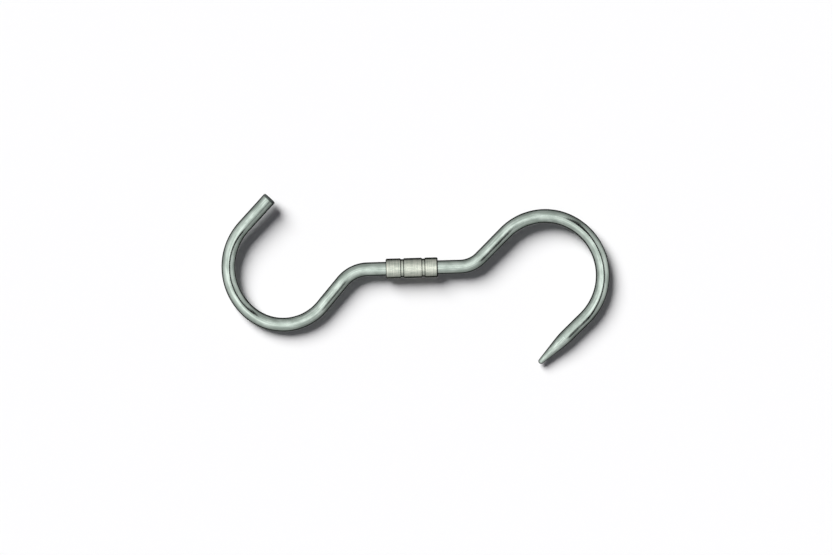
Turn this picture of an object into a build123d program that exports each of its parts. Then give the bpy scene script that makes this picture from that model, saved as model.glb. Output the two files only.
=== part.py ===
from build123d import *
from math import asin, atan2, cos, degrees, hypot, sin, sqrt
import os

os.makedirs("parts", exist_ok=True)

# Butcher hook with a swivel, lying flat as it comes to rest. One rod is bent into the rail
# hook, the other into the pointed load hook, and a short sleeve joins their shanks.
# +X runs along the swivel axis from the rail hook to the load hook, and +Z is up.
# The origin is on the surface beneath, at the middle of the footprint. Lengths in mm.

# ---- Rod stock ---------------------------------------------------------------
rod_radius = 4.0

# ---- Rail hook, from the sleeve out to its blunt end ---------------------------
# A bend is the radius of the rod's centreline and the angle it turns through, in degrees,
# positive to the left.
rail_shank = 10.35
rail_neck_bend = (19.0, 49.0)
rail_diagonal = 18.1
rail_bowl_bend = (29.0, -90.0)
rail_side_bend = (34.0, -93.0)
rail_end_run = 21.9
blunt_edge_radius = 0.8

# ---- Load hook, from the sleeve out to its point -------------------------------
load_shank = 12.75
load_neck_bend = (17.0, 44.0)
load_diagonal = 19.8
load_bowl_bend = (31.5, -72.0)
load_side_bend = (34.0, -109.0)
load_end_run = 17.45
point_length = 19.0
point_tip_radius = 1.6

# ---- Swivel sleeve -------------------------------------------------------------
sleeve_length = 29.5
sleeve_wall = 1.67
sleeve_lip_radius = 0.8
sleeve_mouth_bevel = 0.45
sleeve_end_bevel = 0.5
rail_groove_setback = 9.35
load_groove_setback = 8.15
groove_depth = 0.5
groove_floor = 1.2
bead_floor = 1.0
neck_depth = 0.6
head_gap = 1.6
running_clearance = 0.08
end_play = 0.1

# ---- What follows from these: radii, and places along the axis from the swivel's centre ---
neck_floor_radius = rod_radius - neck_depth
loose_bore_radius = rod_radius + running_clearance
sleeve_radius = loose_bore_radius + sleeve_wall
half_length = sleeve_length / 2
rail_groove_x = -half_length + rail_groove_setback
load_groove_x = half_length - load_groove_setback
bore_step_x = (rail_groove_x + load_groove_x) / 2
rail_head_x = bore_step_x - head_gap / 2
load_head_x = bore_step_x + head_gap / 2


def draw_centreline(plane, head_x, neck_x, neck_bend, diagonal, bowl_bend, side_bend, end_run):
    """A hook's centreline in its own plane, from its head inside the sleeve to its end run."""
    with BuildLine(plane) as drawn:
        shank = Line((head_x, 0), (neck_x, 0))
        neck = JernArc(shank @ 1, shank % 1, *neck_bend)
        slope = Line(neck @ 1, neck @ 1 + diagonal * (neck % 1))
        bowl = JernArc(slope @ 1, slope % 1, *bowl_bend)
        side = JernArc(bowl @ 1, bowl % 1, *side_bend)
        Line(side @ 1, side @ 1 + end_run * (side % 1))
    return drawn.line


rail_route = (
    rail_head_x,
    -half_length - rail_shank,
    rail_neck_bend,
    rail_diagonal,
    rail_bowl_bend,
    rail_side_bend,
    rail_end_run,
)
load_route = (
    load_head_x,
    half_length + load_shank,
    load_neck_bend,
    load_diagonal,
    load_bowl_bend,
    load_side_bend,
    load_end_run,
)

# Both centrelines are first drawn flat about the swivel's centre, to find how far they reach.
rail_flat = draw_centreline(Plane.XY, *rail_route)
load_flat = draw_centreline(Plane.XY, *load_route)
rail_box = rail_flat.bounding_box()
load_box = load_flat.bounding_box()
point_flat = load_flat @ 1 + point_length * (load_flat % 1)
blunt_corner_y = (rail_flat @ 1).Y + rod_radius * (rail_flat % 1).X

# The swivel's centre lies where it puts the origin under the middle of the footprint.
swivel_x = -(rail_box.min.X + load_box.max.X) / 2
swivel_y = -(blunt_corner_y + point_flat.Y) / 2
swivel_z = sleeve_radius

# The sleeve is thicker than the rods, so each hook rolls about the swivel axis until it
# touches the surface: the rail hook at its bowl, the load hook at the shoulder of its point.
rail_roll = asin((sleeve_radius - rod_radius) / -rail_box.min.Y)
load_roll = asin((sleeve_radius - rod_radius) / -(load_flat @ 1).Y)


def rolled_plane(roll):
    """The plane of a hook that is rolled about the swivel axis, centred on the swivel."""
    return Plane(
        origin=(swivel_x, swivel_y, swivel_z),
        x_dir=(1, 0, 0),
        z_dir=(0, -sin(roll), cos(roll)),
    )


def draw_neck(plane, centre_x, floor_width):
    """Half the section of the neck that a rolled bead sits in, with flanks at 45 degrees."""
    half_floor = floor_width / 2
    with BuildSketch(plane) as drawn:
        with BuildLine():
            Polyline(
                (centre_x - half_floor, neck_floor_radius),
                (centre_x + half_floor, neck_floor_radius),
                (centre_x + half_floor + 2 * neck_depth, rod_radius + neck_depth),
                (centre_x - half_floor - 2 * neck_depth, rod_radius + neck_depth),
                close=True,
            )
        make_face()
    return drawn.sketch


swivel_axis = Axis((swivel_x, swivel_y, swivel_z), (1, 0, 0))
rail_plane = rolled_plane(rail_roll)
load_plane = rolled_plane(load_roll)

# ---- Rail hook -------------------------------------------------------------------
# One bent rod. Its shank ends in the sleeve, with a neck that the rail-side bead grips,
# and its other end is cut square with the edge rounded off, to slide along a rail.
with BuildPart() as rail_hook:
    rail_line = draw_centreline(rail_plane, *rail_route)
    with BuildSketch(Plane(origin=rail_line @ 0, z_dir=rail_line % 0)):
        Circle(rod_radius)
    sweep(path=rail_line)
    blunt_face = rail_hook.faces().filter_by(GeomType.PLANE).sort_by_distance(rail_line @ 1)[0]
    fillet(blunt_face.edges(), radius=blunt_edge_radius)
    rail_neck = draw_neck(rail_plane, rail_groove_x, bead_floor)
    revolve(rail_neck, axis=swivel_axis, mode=Mode.SUBTRACT)

rail_hook.part.label = "rail_hook"
export_step(rail_hook.part, "parts/rail_hook.step")

# ---- Load hook -------------------------------------------------------------------
# The same rod, ground to a long point. Its neck is wider than the bead that holds it by
# the end play, so that the hook turns freely in the sleeve and can't pull out.
with BuildPart() as load_hook:
    load_line = draw_centreline(load_plane, *load_route)
    with BuildSketch(Plane(origin=load_line @ 0, z_dir=load_line % 0)):
        Circle(rod_radius)
    sweep(path=load_line)
    load_neck = draw_neck(load_plane, load_groove_x, bead_floor + 2 * end_play)
    revolve(load_neck, axis=swivel_axis, mode=Mode.SUBTRACT)

    # The point: a straight taper from the full rod to a rounded tip that it is tangent to.
    tip_centre = point_length - point_tip_radius
    slant = hypot(tip_centre, rod_radius)
    taper = atan2(rod_radius, tip_centre) - asin(point_tip_radius / slant)
    flank = sqrt(slant**2 - point_tip_radius**2)
    flank_end = (flank * cos(taper), rod_radius - flank * sin(taper))
    point_plane = Plane(origin=load_line @ 1, x_dir=load_line % 1, z_dir=load_plane.z_dir)
    with BuildSketch(point_plane):
        with BuildLine():
            Polyline((0, 0), (0, rod_radius), flank_end)
            RadiusArc(flank_end, (point_length, 0), point_tip_radius)
            Line((point_length, 0), (0, 0))
        make_face()
    revolve(axis=Axis(load_line @ 1, load_line % 1))

load_hook.part.label = "load_hook"
export_step(load_hook.part, "parts/load_hook.step")

# ---- Swivel sleeve ---------------------------------------------------------------
# A short thick tube. Its rail half is swaged tight on the rail hook's shank, so its lip is
# drawn round. Its load half keeps the running clearance and a square, bevelled mouth.
# Over each neck a groove is rolled into the tube, which pushes a bead into the bore.
with BuildPart() as swivel_sleeve:
    half_groove = groove_floor / 2
    half_bead = bead_floor / 2
    groove_radius = sleeve_radius - groove_depth
    rail_bead_radius = neck_floor_radius
    load_bead_radius = neck_floor_radius + running_clearance
    with BuildSketch(rail_plane):
        with BuildLine():
            Polyline(
                (-half_length, sleeve_radius),
                (rail_groove_x - half_groove - groove_depth, sleeve_radius),
                (rail_groove_x - half_groove, groove_radius),
                (rail_groove_x + half_groove, groove_radius),
                (rail_groove_x + half_groove + groove_depth, sleeve_radius),
                (load_groove_x - half_groove - groove_depth, sleeve_radius),
                (load_groove_x - half_groove, groove_radius),
                (load_groove_x + half_groove, groove_radius),
                (load_groove_x + half_groove + groove_depth, sleeve_radius),
                (half_length - sleeve_end_bevel, sleeve_radius),
                (half_length, sleeve_radius - sleeve_end_bevel),
                (half_length, loose_bore_radius + sleeve_mouth_bevel),
                (half_length - sleeve_mouth_bevel, loose_bore_radius),
                (load_groove_x + half_bead + neck_depth, loose_bore_radius),
                (load_groove_x + half_bead, load_bead_radius),
                (load_groove_x - half_bead, load_bead_radius),
                (load_groove_x - half_bead - neck_depth, loose_bore_radius),
                (bore_step_x, loose_bore_radius),
                (bore_step_x, rod_radius),
                (rail_groove_x + half_bead + neck_depth, rod_radius),
                (rail_groove_x + half_bead, rail_bead_radius),
                (rail_groove_x - half_bead, rail_bead_radius),
                (rail_groove_x - half_bead - neck_depth, rod_radius),
                (-half_length, rod_radius),
                close=True,
            )
        make_face()
    revolve(axis=swivel_axis)
    lip_face = swivel_sleeve.faces().filter_by(Axis.X).sort_by(Axis.X)[0]
    lip_edge = lip_face.edges().sort_by(SortBy.RADIUS)[-1]
    fillet(lip_edge, radius=sleeve_lip_radius)

swivel_sleeve.part.label = "swivel_sleeve"
export_step(swivel_sleeve.part, "parts/swivel_sleeve.step")

print(f"rail roll {degrees(rail_roll):.2f}, load roll {degrees(load_roll):.2f} degrees")
print(f"swivel centre {swivel_x:.2f}, {swivel_y:.2f}, {swivel_z:.2f}")
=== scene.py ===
from math import asin, atan2, cos, degrees, hypot, pi, radians, sin, tan
import bmesh
import bpy
import numpy as np
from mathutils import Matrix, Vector


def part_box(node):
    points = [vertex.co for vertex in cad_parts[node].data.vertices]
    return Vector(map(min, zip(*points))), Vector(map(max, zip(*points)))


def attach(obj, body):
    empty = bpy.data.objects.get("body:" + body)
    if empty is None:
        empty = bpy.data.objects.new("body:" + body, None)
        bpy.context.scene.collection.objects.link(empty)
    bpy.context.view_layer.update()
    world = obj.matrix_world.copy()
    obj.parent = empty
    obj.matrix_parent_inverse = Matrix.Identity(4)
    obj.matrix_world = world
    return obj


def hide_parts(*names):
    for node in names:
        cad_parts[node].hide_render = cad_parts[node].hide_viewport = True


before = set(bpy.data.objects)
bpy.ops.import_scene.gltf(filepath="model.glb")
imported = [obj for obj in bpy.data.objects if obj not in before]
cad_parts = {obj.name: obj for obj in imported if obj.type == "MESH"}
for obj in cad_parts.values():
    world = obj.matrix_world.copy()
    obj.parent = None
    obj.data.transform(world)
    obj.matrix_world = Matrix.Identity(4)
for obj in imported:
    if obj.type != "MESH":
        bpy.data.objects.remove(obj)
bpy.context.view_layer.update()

# ---- Rail hook -------------------------------------------------------------------------
# A length of 8 mm stainless steel rod, drawn through a die and left bright, then bent cold
# round formers. Its free end is cropped square and its edge rubbed round, so that it slides
# along a rail. Its other end has a turned neck, which the sleeve is crimped into.
mm = 0.001
rod_radius = 4.0 * mm
neck_floor = 3.4 * mm
bead_floor = 1.0 * mm
rail_head = -0.2 * mm
rail_bead = -5.4 * mm
rail_shank_end = -25.1 * mm
rail_bends = [(19.0 * mm, 49.0), (18.1 * mm, 0.0), (29.0 * mm, -90.0), (34.0 * mm, -93.0)]
rail_end_run = 21.9 * mm
blunt_edge_radius = 0.8 * mm
out_of_round = 0.012 * mm
former_drift = 23.0 * mm
# The cropped end's dull finish, dark partly as painted shade, starts this far before its rounded edge.
dull_and_shaded_margin = 0.5 * mm
probe_step = 0.1 * mm
points_round = 96
ring_spacing = 0.5 * mm
weld_distance = 0.0005 * mm
crisp_angle = radians(7.0)

sleeve_low, sleeve_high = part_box("swivel_sleeve")
swivel = (sleeve_low + sleeve_high) / 2
proud = swivel.z - rod_radius


def lay_route(start_x, shank_end, bends, end_run):
    """A hook's centreline as its start, its heading and its legs, each a length and a curvature.
    A bend is a radius and a turn in degrees, positive to the left, and a straight leg turns 0."""
    legs = [(abs(shank_end - start_x), 0.0)]
    for size, turn in bends:
        length = size * radians(abs(turn)) if turn else size
        legs.append((length, radians(turn) / length))
    legs.append((end_run, 0.0))
    return start_x, 0.0 if shank_end > start_x else pi, legs


def place_on(route, distance):
    """The flat place and the heading at this distance along a route. Its last leg runs on."""
    x, heading, legs = route
    y, left = 0.0, distance
    for number, (length, curvature) in enumerate(legs):
        step = left if number == len(legs) - 1 else min(left, length)
        if curvature:
            turned = heading + step * curvature
            x += (sin(turned) - sin(heading)) / curvature
            y -= (cos(turned) - cos(heading)) / curvature
            heading = turned
        else:
            x, y = x + step * cos(heading), y + step * sin(heading)
        left -= step
        if left <= 0:
            break
    return x, y, heading


def round_corner(centre_x, centre_r, radius, first, last, steps=16):
    """Profile points of a rounded corner, between two angles in degrees."""
    angles = np.radians(np.linspace(first, last, steps + 1))
    return [(centre_x + radius * cos(a), centre_r + radius * sin(a)) for a in angles]


def sweep(name, route, roll, profile, dent=None, closed=False):
    """A mesh of rings along a route, from a profile of distances and radii, in the plane that
    is rolled about the swivel axis. dent gives how far the skin lies under its true radius at a
    distance and an angle. The attribute unbent keeps where each point was before the bending."""
    rings = [profile[0]]
    for (x0, r0), (x1, r1) in zip(profile, profile[1:]):
        parts = max(1, round(hypot(x1 - x0, r1 - r0) / ring_spacing))
        for share in np.arange(1, parts + 1) / parts:
            rings.append((x0 + (x1 - x0) * share, r0 + (r1 - r0) * share))
    angles = np.arange(points_round) * 2 * pi / points_round
    points, unbent = [], []
    for distance, radius in rings:
        x, y, heading = place_on(route, distance)
        skin = radius - (dent(distance, angles) if dent and radius else 0.0)
        side, up = skin * np.cos(angles), skin * np.sin(angles)
        flat_y = y + side * cos(heading)
        rolled_y = flat_y * cos(roll) - up * sin(roll)
        rolled_z = flat_y * sin(roll) + up * cos(roll)
        points.append(np.stack([x - side * sin(heading), rolled_y, rolled_z], 1) + np.array(swivel))
        unbent.append(np.stack([np.full(points_round, distance), side, up], 1))
    mesh = bpy.data.meshes.new(name)
    around = np.arange(points_round)
    after = (around + 1) % points_round
    starts = points_round * np.arange(len(rings))
    pairs = list(zip(starts, starts[1:]))
    if closed:
        pairs.append((starts[-1], starts[0]))
    quads = [np.stack([a + around, a + after, b + after, b + around], 1) for a, b in pairs]
    mesh.from_pydata(np.concatenate(points).tolist(), [], np.concatenate(quads).tolist())
    kept = mesh.attributes.new("unbent", "FLOAT_VECTOR", "POINT")
    kept.data.foreach_set("vector", np.concatenate(unbent).astype(np.float32).ravel())

    # The rings of no radius at the ends close to a point, and real edges stay crisp.
    edited = bmesh.new()
    edited.from_mesh(mesh)
    bmesh.ops.remove_doubles(edited, verts=edited.verts, dist=weld_distance)
    for face in edited.faces:
        face.smooth = True
    for edge in edited.edges:
        if len(edge.link_faces) == 2 and edge.calc_face_angle() > crisp_angle:
            edge.smooth = False
    edited.to_mesh(mesh)
    edited.free()
    piece = bpy.data.objects.new(name, mesh)
    bpy.context.scene.collection.objects.link(piece)
    return piece


def necked(head, bead, slack):
    """The profile of a shank's head and of the neck in it, as distances from the head."""
    neck = abs(bead - head)
    half = bead_floor / 2 + slack
    depth = rod_radius - neck_floor
    return [
        (0.0, 0.0),
        (0.0, rod_radius),
        (neck - half - depth, rod_radius),
        (neck - half, neck_floor),
        (neck + half, neck_floor),
        (neck + half + depth, rod_radius),
    ]


def length_of(route):
    """How long a route is, from its head to the end of its last leg."""
    return sum(length for length, curvature in route[2])


def former_marks(distance, angles):
    """Bending leaves the rod a few hundredths of a millimetre out of round, and never quite evenly."""
    drift = distance / former_drift
    return out_of_round * (2 + np.sin(2 * angles + drift) + np.sin(3 * angles - 1.7 * drift))


rail_route = lay_route(rail_head, rail_shank_end, rail_bends, rail_end_run)
rail_length = length_of(rail_route)
rail_reach = -min(place_on(rail_route, d)[1] for d in np.arange(0, rail_length, probe_step))
rail_roll = asin(proud / rail_reach)
rail_profile = necked(rail_head, rail_bead, 0.0)
edge_x = rail_length - blunt_edge_radius
edge_r = rod_radius - blunt_edge_radius
rail_profile += round_corner(edge_x, edge_r, blunt_edge_radius, 90, 0)
rail_profile.append((rail_length, 0.0))
rail_rod = sweep("rail_hook_rod", rail_route, rail_roll, rail_profile, former_marks)
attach(rail_rod, "rail_side")
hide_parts("rail_hook")


def linear(hex_colour):
    """An sRGB hex colour as linear red, green, blue and alpha."""
    shares = [int(hex_colour[i:i + 2], 16) / 255 for i in (1, 3, 5)]
    return [c / 12.92 if c <= 0.04045 else ((c + 0.055) / 1.055) ** 2.4 for c in shares] + [1.0]


def add_node(tree, kind, sockets=None, **settings):
    """Adds a node with its settings, and gives its sockets their values or links."""
    made = tree.nodes.new("ShaderNode" + kind)
    for setting, value in settings.items():
        setattr(made, setting, value)
    for socket, value in (sockets or {}).items():
        if isinstance(value, bpy.types.NodeSocket):
            tree.links.new(value, made.inputs[socket])
        else:
            made.inputs[socket].default_value = value
    return made


def bare_material(name):
    """A new material, its node tree and its shader."""
    made = bpy.data.materials.new(name)
    made.use_nodes = True
    return made, made.node_tree, made.node_tree.nodes["Principled BSDF"]


def grain(tree, spacings, detail=2.0):
    """Noise whose lumps have these real sizes along the rod and across it, as a value."""
    place = add_node(tree, "Attribute", attribute_name="unbent")
    scaled = add_node(
        tree,
        "VectorMath",
        {0: place.outputs["Vector"], 1: [1 / s for s in spacings]},
        operation="MULTIPLY",
    )
    sockets = {"Vector": scaled.outputs[0], "Scale": 1.0, "Detail": detail}
    return add_node(tree, "TexNoise", sockets).outputs["Fac"]


def remap(tree, value, low, high, to_low, to_high):
    """The value's range low to high, spread over to_low to to_high and held there."""
    sockets = {"Value": value, 1: low, 2: high, 3: to_low, 4: to_high}
    return add_node(tree, "MapRange", sockets, interpolation_type="SMOOTHSTEP").outputs[0]


def lined_steel(name, light, shade, streak_width):
    """Bare stainless steel with fine lines along its length, which the die leaves on the rod and
    the belt leaves on the point. To the eye it is a cool, satin mirror with faint streaks. The
    lines are drawn at about twice their real width, so that they show."""
    made, tree, shader = bare_material(name)
    streaks = grain(tree, (28.0 * mm, streak_width, streak_width), 3.0)
    lines = grain(tree, (9.0 * mm, 0.22 * mm, 0.22 * mm))
    clouds = grain(tree, (7.0 * mm, 4.0 * mm, 4.0 * mm))
    mixed = add_node(tree, "Math", {0: streaks, 1: clouds}, operation="ADD")
    tone = remap(tree, mixed.outputs[0], 0.75, 1.3, 0.0, 1.0)
    colour = add_node(tree, "Mix", {0: tone, 6: linear(shade), 7: linear(light)}, data_type="RGBA")
    tree.links.new(colour.outputs[2], shader.inputs["Base Color"])
    tree.links.new(remap(tree, lines, 0.3, 0.7, 0.1, 0.2), shader.inputs["Roughness"])
    height = add_node(tree, "Math", {0: streaks, 1: lines}, operation="ADD")
    bump = {"Strength": 1.0, "Distance": 0.008 * mm, "Height": height.outputs[0]}
    tree.links.new(add_node(tree, "Bump", bump).outputs[0], shader.inputs["Normal"])
    shader.inputs["Metallic"].default_value = 1.0
    return made


def cropped_steel():
    """The same steel where the rod was sheared off and never polished: torn, a little oxidised and dull.
    Its dark colour is partly real and partly painted shade, which stands for the dark band that the rounded
    edge shows. Its pits are drawn coarser than real ones, to show."""
    made, tree, shader = bare_material("cropped_end_steel")
    pits = grain(tree, (0.5 * mm, 0.5 * mm, 0.5 * mm))
    tree.links.new(remap(tree, pits, 0.3, 0.7, 0.35, 0.55), shader.inputs["Roughness"])
    bump = add_node(tree, "Bump", {"Strength": 1.0, "Distance": 0.03 * mm, "Height": pits})
    tree.links.new(bump.outputs[0], shader.inputs["Normal"])
    shader.inputs["Base Color"].default_value = linear("#5C6460")
    shader.inputs["Metallic"].default_value = 0.7
    return made


def finish_past(piece, distance):
    """Gives the piece's second finish to its faces past this distance from the head."""
    where = piece.data.attributes["unbent"].data
    for polygon in piece.data.polygons:
        if min(where[v].vector[0] for v in polygon.vertices) > distance:
            polygon.material_index = 1


drawn_finish = lined_steel("bright_drawn_steel", "#DAE7DE", "#B0BDB4", 0.8 * mm)
rail_rod.data.materials.append(drawn_finish)
# The second finish is the dull cropped end, dark partly as painted shade for its edge band.
rail_rod.data.materials.append(cropped_steel())
finish_past(rail_rod, rail_length - blunt_edge_radius - dull_and_shaded_margin)

# ---- Swivel sleeve -----------------------------------------------------------------------
# A short piece of thick stainless steel tube, turned and bevelled on the lathe and slipped over
# both shanks. Two grooves are rolled into it, and each pushes a bead into a shank's neck. Its
# rail end is swaged tight and round on the rod, and its load end is square, for the rod to turn.
sleeve_half = 14.75 * mm
sleeve_radius = 5.75 * mm
lip_radius = 0.8 * mm
end_bevel = 0.5 * mm
mouth_bevel = 0.45 * mm
running_clearance = 0.08 * mm
load_bead = 6.6 * mm
groove_depth = 0.5 * mm
groove_floor = 1.2 * mm
# Where the painted shade fades out on the grooves' flanks, and where it fades in before the load-end bevel.
flank_shade_widths = (0.1 * mm, 0.24 * mm)
bevel_shade_widths = (0.4 * mm, 0.1 * mm)
loose_bore = rod_radius + running_clearance


def rolled_groove(centre, half_floor, depth, radius, way):
    """The profile of a groove with flanks at 45 degrees, passed along in this way, +1 or -1."""
    shape = [
        (-half_floor - depth, 0.0),
        (-half_floor, depth),
        (half_floor, depth),
        (half_floor + depth, 0.0),
    ]
    return [(sleeve_half + centre + way * x, radius - dip) for x, dip in shape]


bead_depth = rod_radius - neck_floor
sleeve_profile = round_corner(lip_radius, sleeve_radius - lip_radius, lip_radius, 180, 90)
sleeve_profile += rolled_groove(rail_bead, groove_floor / 2, groove_depth, sleeve_radius, 1)
sleeve_profile += rolled_groove(load_bead, groove_floor / 2, groove_depth, sleeve_radius, 1)
sleeve_profile += [
    (2 * sleeve_half - end_bevel, sleeve_radius),
    (2 * sleeve_half, sleeve_radius - end_bevel),
    (2 * sleeve_half, loose_bore + mouth_bevel),
    (2 * sleeve_half - mouth_bevel, loose_bore),
]
sleeve_profile += rolled_groove(load_bead, bead_floor / 2, bead_depth, loose_bore, -1)
bore_step = sleeve_half + (rail_bead + load_bead) / 2
sleeve_profile += [(bore_step, loose_bore), (bore_step, rod_radius)]
sleeve_profile += rolled_groove(rail_bead, bead_floor / 2, bead_depth, rod_radius, -1)
sleeve_profile += [(0.0, rod_radius)]
sleeve_route = (-sleeve_half, 0.0, [(2 * sleeve_half, 0.0)])
sleeve = sweep("swivel_sleeve_tube", sleeve_route, 0.0, sleeve_profile, closed=True)
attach(sleeve, "rail_side")
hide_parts("swivel_sleeve")


def turned_steel(light, shade, painted_shade):
    """Stainless steel tube turned on a lathe. Fine lines run round it, so it looks paler, warmer and softer
    than the rods. Near-black rings of painted shade darken its grooves' flanks, its lips and its load end.
    The lines are drawn at about twice their real spacing, so that they show."""
    made, tree, shader = bare_material("turned_tube_steel")
    feed = grain(tree, (0.35 * mm, 14.0 * mm, 14.0 * mm), 3.0)
    rubs = grain(tree, (5.0 * mm, 1.6 * mm, 1.6 * mm), 3.0)
    mixed = add_node(tree, "Math", {0: feed, 1: rubs}, operation="ADD")
    tone = remap(tree, mixed.outputs[0], 0.75, 1.25, 0.0, 1.0)
    metal = add_node(tree, "Mix", {0: tone, 6: linear(shade), 7: linear(light)}, data_type="RGBA")

    # Painted shade lies wherever the skin is about half a groove's depth down, so on the grooves' flanks
    # and round the lips, and on the load end from just before its bevel.
    place = add_node(tree, "Attribute", attribute_name="unbent").outputs["Vector"]
    across = add_node(tree, "VectorMath", {0: place, 1: (0, 1, 1)}, operation="MULTIPLY")
    radius = add_node(tree, "VectorMath", {0: across.outputs[0]}, operation="LENGTH").outputs["Value"]
    half_down = sleeve_radius - groove_depth / 2
    above = add_node(tree, "Math", {0: radius, 1: half_down}, operation="SUBTRACT").outputs[0]
    off_flank = add_node(tree, "Math", {0: above}, operation="ABSOLUTE").outputs[0]
    flank_shade = remap(tree, off_flank, *flank_shade_widths, 0.9, 0.0)
    along = add_node(tree, "SeparateXYZ", {0: place}).outputs[0]
    bevel_start = 2 * sleeve_half - end_bevel
    fade_in = [bevel_start - before for before in bevel_shade_widths]
    bevel_shade = remap(tree, along, *fade_in, 0.0, 0.85)
    painted_shade_mask = add_node(tree, "Math", {0: flank_shade, 1: bevel_shade}, operation="MAXIMUM").outputs[0]
    colour = add_node(tree, "Mix", {0: painted_shade_mask, 6: metal.outputs[2], 7: linear(painted_shade)}, data_type="RGBA")
    tree.links.new(colour.outputs[2], shader.inputs["Base Color"])
    tree.links.new(remap(tree, feed, 0.3, 0.7, 0.14, 0.26), shader.inputs["Roughness"])
    bump = {"Strength": 1.0, "Distance": 0.006 * mm, "Height": mixed.outputs[0]}
    tree.links.new(add_node(tree, "Bump", bump).outputs[0], shader.inputs["Normal"])
    shader.inputs["Metallic"].default_value = 1.0
    return made


# The last colour is the near-black of the painted shade on the grooves, lips and load end.
sleeve.data.materials.append(turned_steel("#E9EDDF", "#C3CBBF", "#161A18"))

# ---- Load hook ---------------------------------------------------------------------------
# The same drawn rod, bent to a rounder hook. Its end is ground on a belt to a long cone with a
# soft shoulder and a rounded tip, and its neck leaves the bead a little play.
load_head = 1.4 * mm
load_shank_end = 27.5 * mm
load_bends = [(17.0 * mm, 44.0), (19.8 * mm, 0.0), (31.5 * mm, -72.0), (34.0 * mm, -109.0)]
load_end_run = 17.45 * mm
point_length = 19.0 * mm
tip_radius = 1.6 * mm
end_play = 0.1 * mm
shoulder_blend = 4.0 * mm

load_route = lay_route(load_head, load_shank_end, load_bends, load_end_run)
load_length = length_of(load_route)
load_roll = asin(proud / -place_on(load_route, load_length)[1])
tip_centre = point_length - tip_radius
slant = hypot(tip_centre, rod_radius)
taper = atan2(rod_radius, tip_centre) - asin(tip_radius / slant)
load_profile = necked(load_head, load_bead, end_play)
taper_end = 90 - degrees(taper)
shoulder_radius = shoulder_blend / tan(taper / 2)
shoulder_x = load_length - shoulder_blend
shoulder_r = rod_radius - shoulder_radius
load_profile += round_corner(shoulder_x, shoulder_r, shoulder_radius, 90, taper_end)
load_profile += round_corner(load_length + tip_centre, 0.0, tip_radius, taper_end, 0)
load_rod = sweep("load_hook_rod", load_route, load_roll, load_profile, former_marks)
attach(load_rod, "load_side")
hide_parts("load_hook")
ground_finish = lined_steel("belt_ground_steel", "#DAE7DE", "#B5C2B9", 0.5 * mm)
load_rod.data.materials.append(drawn_finish)
load_rod.data.materials.append(ground_finish)
finish_past(load_rod, load_length - shoulder_blend / 2)

# ---- Table -------------------------------------------------------------------------------
# A smooth, matt white surface that the hook lies on. Mirror rays pass through it, so all that
# the steel shows of it is the glow that the studio's light adds beneath.
table_width = 24.0
bpy.ops.mesh.primitive_plane_add(size=table_width)
table = bpy.context.object
table.name = "table"
white, _, white_shader = bare_material("matt_white_table")
white_shader.inputs["Base Color"].default_value = linear("#F4F4F4")
white_shader.inputs["Roughness"].default_value = 0.8
white_shader.inputs["Specular IOR Level"].default_value = 0.0
table.data.materials.append(white)
table.visible_glossy = False

# ---- Light -------------------------------------------------------------------------------
# A large soft lamp stands up on the left and throws a soft shadow to the lower right. It is so
# far off that its light is even, so its width is an angle.
lamp_height = radians(42.0)
shadow_way = radians(-50.0)
lamp_width = radians(35.0)
lamp = bpy.data.objects.new("soft_lamp", bpy.data.lights.new("soft_lamp", "SUN"))
lamp.data.energy = 4.8
lamp.data.angle = lamp_width
travel = Vector((cos(lamp_height) * cos(shadow_way), cos(lamp_height) * sin(shadow_way), -sin(lamp_height)))
lamp.rotation_mode = "QUATERNION"
lamp.rotation_quaternion = travel.to_track_quat("-Z", "Y")
lamp.visible_glossy = False
bpy.context.scene.collection.objects.link(lamp)

# What the steel mirrors is a white tent over the table, brightest above and a little left, with
# an open strip round a white card at the right. Its light ends in the dark a little below level,
# and the glow of the table lies only steeply beneath. The studio is laid out by the way that steel
# must face to show each part of it to an eye straight above: half-way from up to the mirror ray.
tent_top = (-0.15, -0.03)
tent_stops = [(0.0, 1.2), (0.16, 1.14), (0.3, 0.87), (0.45, 0.66), (0.6, 0.5), (0.75, 0.36), (0.9, 0.22)]
card_glow = (0.44, 0.06)
card_stops = [(0.0, 0.8), (0.2, 0.64), (0.4, 0.38), (0.6, 0.2), (0.8, 0.1)]
card_shape = [(0.84, 0.02), (0.6, 0.62)]
strip_shape = [(0.7, 0.02), (0.62, 0.48)]
soft_edge = 0.03
light_ends = (0.77, 0.88)
glow_starts = (0.955, 0.995)

studio = bpy.data.worlds.new("studio")
studio.use_nodes = True
bpy.context.scene.world = studio
sky = studio.node_tree
sky.nodes.clear()
direction = add_node(sky, "TexCoord").outputs["Generated"]
raised = add_node(sky, "VectorMath", {0: direction, 1: (0, 0, 1)}, operation="ADD")
facing = add_node(sky, "VectorMath", {0: raised.outputs[0]}, operation="NORMALIZE")
flat = add_node(sky, "VectorMath", {0: facing.outputs[0], 1: (1, 1, 0)}, operation="MULTIPLY")


def reach(centre, sizes=(1.0, 1.0)):
    """How far a part of the studio lies from this centre, in these sizes."""
    moved = add_node(sky, "VectorMath", {0: flat.outputs[0], 1: (*centre, 0)}, operation="SUBTRACT")
    shares = (1 / sizes[0], 1 / sizes[1], 0)
    scaled = add_node(sky, "VectorMath", {0: moved.outputs[0], 1: shares}, operation="MULTIPLY")
    return add_node(sky, "VectorMath", {0: scaled.outputs[0]}, operation="LENGTH").outputs["Value"]


def fades(value, stops):
    """A grey ramp through these places and brightnesses. A new ramp already has two stops."""
    ramp = add_node(sky, "ValToRGB", {0: value})
    for number, (at, glow) in enumerate(stops):
        stop = ramp.color_ramp.elements[number] if number < 2 else ramp.color_ramp.elements.new(at)
        stop.position = at
        stop.color = (glow, glow, glow, 1.0)
    return ramp.outputs[0]


def inside(shape):
    """One inside an oval, given by its centre and its sizes, and zero outside it."""
    return remap(sky, reach(*shape), 1 - soft_edge, 1 + soft_edge, 1.0, 0.0)


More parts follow.
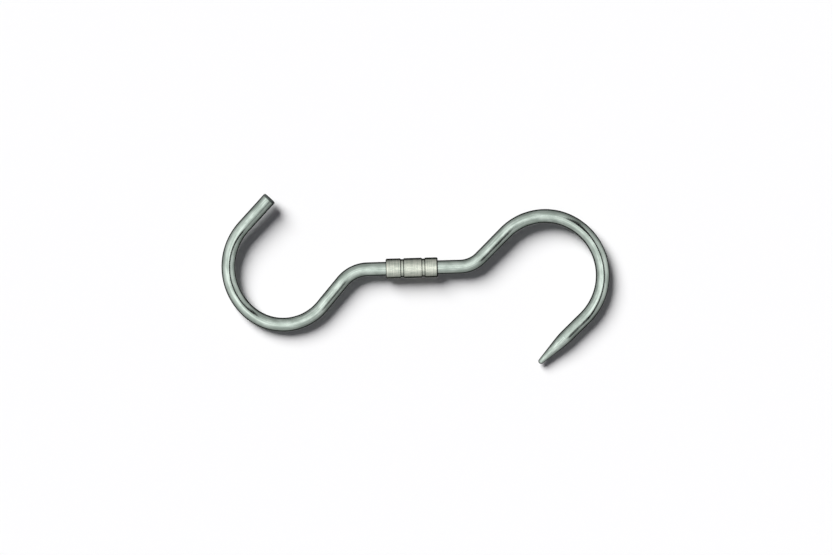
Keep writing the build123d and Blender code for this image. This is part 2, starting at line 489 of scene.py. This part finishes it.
tent = fades(reach(tent_top), tent_stops)
card = fades(reach(card_glow), card_stops)
on_card = inside(card_shape)
lit_part = add_node(sky, "Mix", {0: on_card, 6: tent, 7: card}, data_type="RGBA").outputs[2]
sockets = {0: inside(strip_shape), 1: on_card}
open_strip = add_node(sky, "Math", sockets, operation="SUBTRACT", use_clamp=True).outputs[0]
closed_part = remap(sky, open_strip, 0.0, 1.0, 1.0, 0.0)
off_top = reach((0.0, 0.0))
high_enough = remap(sky, off_top, *light_ends, 1.0, 0.01)
light_share = add_node(sky, "Math", {0: closed_part, 1: high_enough}, operation="MULTIPLY").outputs[0]
sockets = {0: light_share, 6: linear("#000000"), 7: lit_part}
tent_light = add_node(sky, "Mix", sockets, data_type="RGBA").outputs[2]
table_glow = remap(sky, off_top, *glow_starts, 0.0, 0.3)
sockets = {0: table_glow, 6: tent_light, 7: linear("#FFFFFF")}
mirrored = add_node(sky, "Mix", sockets, data_type="RGBA").outputs[2]

# Only mirror rays see the studio. The table is lit by a faint fill, and the eye sees plain white.
rays = add_node(sky, "LightPath")
mirror_back = add_node(sky, "Background", {0: mirrored, 1: 1.0})
fill_back = add_node(sky, "Background", {0: linear("#F6F2FF"), 1: 0.085})
seen_back = add_node(sky, "Background", {0: linear("#FFFFFF"), 1: 1.0})
sockets = {0: rays.outputs["Is Glossy Ray"], 1: fill_back.outputs[0], 2: mirror_back.outputs[0]}
lit = add_node(sky, "MixShader", sockets)
sockets = {0: rays.outputs["Is Camera Ray"], 1: lit.outputs[0], 2: seen_back.outputs[0]}
whole = add_node(sky, "MixShader", sockets)
add_node(sky, "OutputWorld", {0: whole.outputs[0]})
bpy.context.scene.view_settings.view_transform = "Standard"

# ---- Camera ------------------------------------------------------------------------------
# A long lens straight above the hook, aimed a hair off its middle and turned a little, so that
# the hook's axis rises slightly to the right.
view_width = 473.2 * mm
frame_turn = radians(-1.62)
aim_x = 0.35 * mm
aim_y = 0.22 * mm
camera = bpy.data.objects.new("camera", bpy.data.cameras.new("camera"))
camera.data.lens = 100.0
camera.data.sensor_width = 36.0
camera.data.clip_end = 50.0
height = rod_radius + view_width * camera.data.lens / camera.data.sensor_width
camera.location = (aim_x, aim_y, height)
camera.rotation_euler = (0.0, 0.0, frame_turn)
bpy.context.scene.collection.objects.link(camera)
bpy.context.scene.camera = camera
